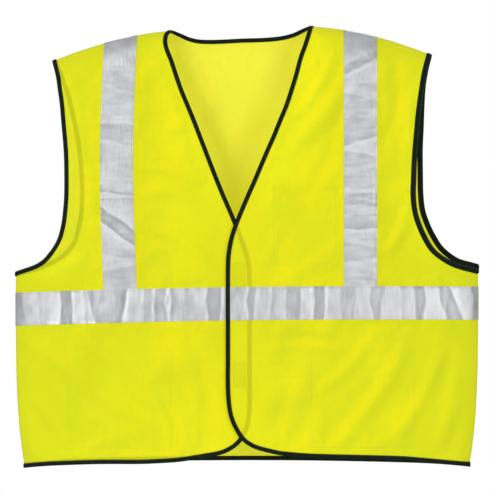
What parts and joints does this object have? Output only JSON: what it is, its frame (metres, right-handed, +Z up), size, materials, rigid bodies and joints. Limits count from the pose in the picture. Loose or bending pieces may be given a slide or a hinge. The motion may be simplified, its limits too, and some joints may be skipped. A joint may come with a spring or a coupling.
{
  "type": "high visibility vest",
  "caption": "Sleeveless high-visibility safety vest with a V neck, reflective tape, dark edge binding and front panels that open on hook-and-loop strips.",
  "frame": {"origin": "midway between the two points where the neckline meets the shoulder seams, where the shoulders carry the vest", "axes": "+X is the wearer's left, -Y is the front, +Z is up"},
  "size_m": [0.7181, 0.0967, 0.6776],
  "materials": {
    "shell_fabric": "fluorescent lime-yellow knitted polyester, fine mesh, matt",
    "pocket_fabric": "the same lime-yellow knit, seen on the inside",
    "reflective_tape": "silver retroreflective tape, softly creased",
    "binding": "dark green-black woven binding, folded over the edge",
    "closure": "lime-yellow hook-and-loop strip"
  },
  "bodies": {
    "vest_shell": {"back_panel": "shell_fabric", "left_front_panel": "shell_fabric", "right_front_panel": "shell_fabric", "back_neck_binding": "binding", "left_neck_binding": "binding", "right_neck_binding": "binding", "left_armhole_binding": "binding", "right_armhole_binding": "binding", "back_hem_binding": "binding", "left_hem_binding": "binding", "right_hem_binding": "binding", "left_front_shoulder_tape": "reflective_tape", "right_front_shoulder_tape": "reflective_tape", "left_back_shoulder_tape": "reflective_tape", "right_back_shoulder_tape": "reflective_tape", "left_waist_tape": "reflective_tape", "right_waist_tape": "reflective_tape", "back_waist_tape": "reflective_tape", "left_lower_pocket": "pocket_fabric", "right_lower_pocket": "pocket_fabric", "chest_pocket_outer_half": "pocket_fabric", "left_shoulder_seam": "shell_fabric", "right_shoulder_seam": "shell_fabric", "left_side_seam": "shell_fabric", "right_side_seam": "shell_fabric"},
    "left_front_flap": {"left_flap_panel": "shell_fabric", "left_flap_binding": "binding", "left_flap_waist_tape": "reflective_tape", "chest_pocket_inner_half": "pocket_fabric", "upper_hook_strip": "closure", "lower_hook_strip": "closure"},
    "right_front_flap": {"right_flap_panel": "shell_fabric", "right_flap_binding": "binding", "right_flap_waist_tape": "reflective_tape", "upper_loop_strip": "closure", "lower_loop_strip": "closure"}
  },
  "joints": [
    {"name": "left_front_fold", "type": "hinge", "parent": "vest_shell", "child": "left_front_flap", "pos_m": [0.094, -0.04982, -0.4], "axis": [0, 0.0443, 0.999], "range_deg": [0, 150]},
    {"name": "right_front_fold", "type": "hinge", "parent": "vest_shell", "child": "right_front_flap", "pos_m": [-0.094, -0.04982, -0.4], "axis": [0, 0.0443, 0.999], "range_deg": [-105, 0]}
  ],
  "couplings": [
    {"joint": "right_front_fold", "follows": "left_front_fold", "ratio": -0.7}
  ]
}
